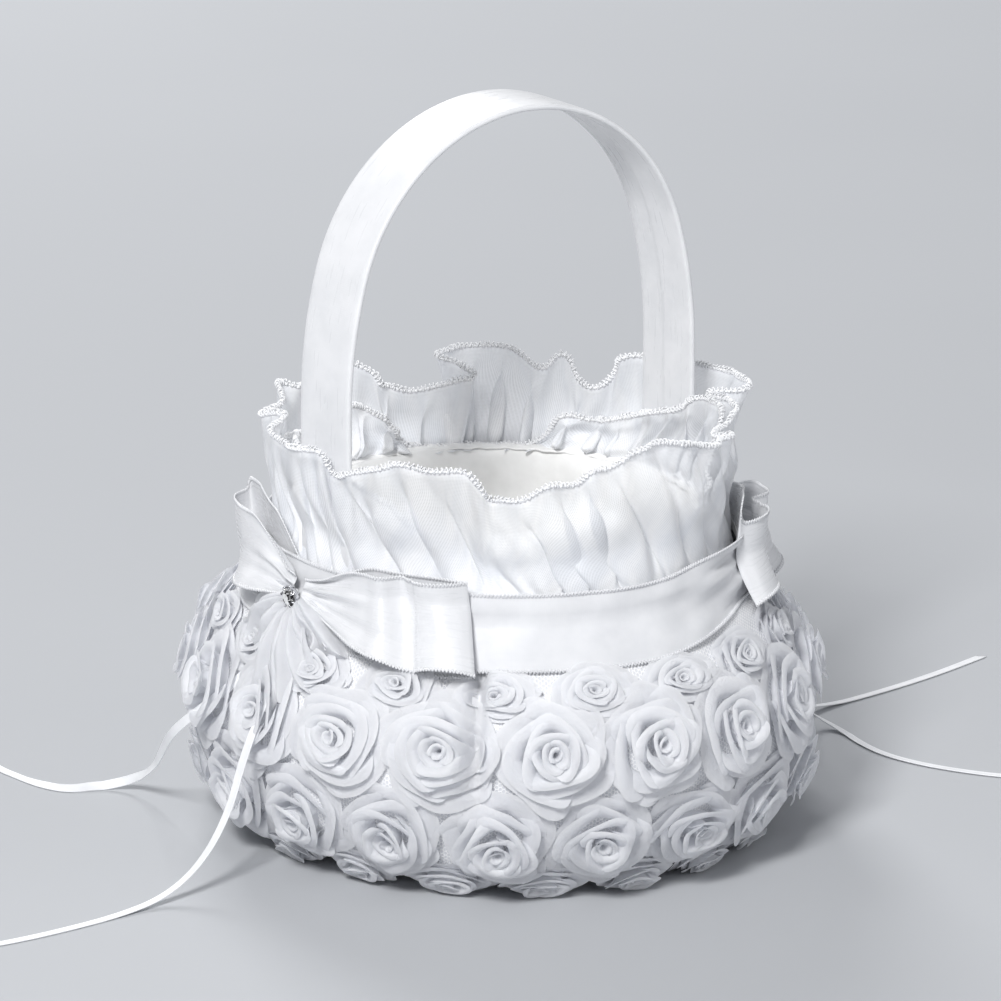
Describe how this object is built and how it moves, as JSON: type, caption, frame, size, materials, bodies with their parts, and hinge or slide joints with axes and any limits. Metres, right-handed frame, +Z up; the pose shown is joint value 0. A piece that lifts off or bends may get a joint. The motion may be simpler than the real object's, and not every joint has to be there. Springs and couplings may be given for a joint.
{
  "type": "flower girl basket",
  "caption": "Oval padded petal basket with chiffon rosettes, a satin waist ribbon with side bows, organza frills and a fixed arched handle.",
  "frame": {"origin": "middle of the underside, on the surface that the basket stands on", "axes": "+Z up; the handle's arch lies in the XZ plane, so the two bows are at -X and +X; the oval body is longest along Y"},
  "size_m": [0.4326, 0.2448, 0.229],
  "materials": {
    "satin_underside": "plain woven satin",
    "card": "plain grey card, hidden",
    "satin_lining": "soft ivory satin over padding",
    "tulle": "fine hexagonal net",
    "fibre_filling": "loose polyester fibre, hidden",
    "chiffon": "crisp matt chiffon with raw edges",
    "satin_ribbon": "glossy satin with a woven edge",
    "cotton_tape": "plain tape, hidden",
    "organza": "sheer crisp organza",
    "crochet_thread": "crocheted thread",
    "handle_strip": "plain strip, hidden",
    "handle_satin": "satin glued smooth on a band",
    "narrow_ribbon": "narrow satin ribbon",
    "silver_cup": "polished silver colour",
    "rhinestone": "clear faceted stone"
  },
  "bodies": {
    "root": {"base_board": "card", "base_cover": "satin_underside", "bow_left": "satin_ribbon", "bow_right": "satin_ribbon", "gathering_tape": "cotton_tape", "handle_core": "handle_strip", "handle_wrap_satin": "handle_satin", "inner_frill": "organza", "inner_frill_edging": "crochet_thread", "lining_floor_pad": "satin_lining", "lining_wall": "satin_lining", "outer_frill": "organza", "outer_frill_edging": "crochet_thread", "rhinestone_left": "rhinestone", "rhinestone_right": "rhinestone", "rim_binding": "satin_lining", "rosette_backing": "tulle", "rosettes_base_row": "chiffon", "rosettes_lower_row": "chiffon", "rosettes_upper_row": "chiffon", "rosettes_waist_row": "chiffon", "stone_setting_left": "silver_cup", "stone_setting_right": "silver_cup", "streamer_knot_left": "narrow_ribbon", "streamer_knot_right": "narrow_ribbon", "streamer_left_back": "narrow_ribbon", "streamer_left_front": "narrow_ribbon", "streamer_right_lower": "narrow_ribbon", "streamer_right_upper": "narrow_ribbon", "stuffing": "fibre_filling", "waist_ribbon": "satin_ribbon", "wall_ring": "card"}
  },
  "joints": []
}
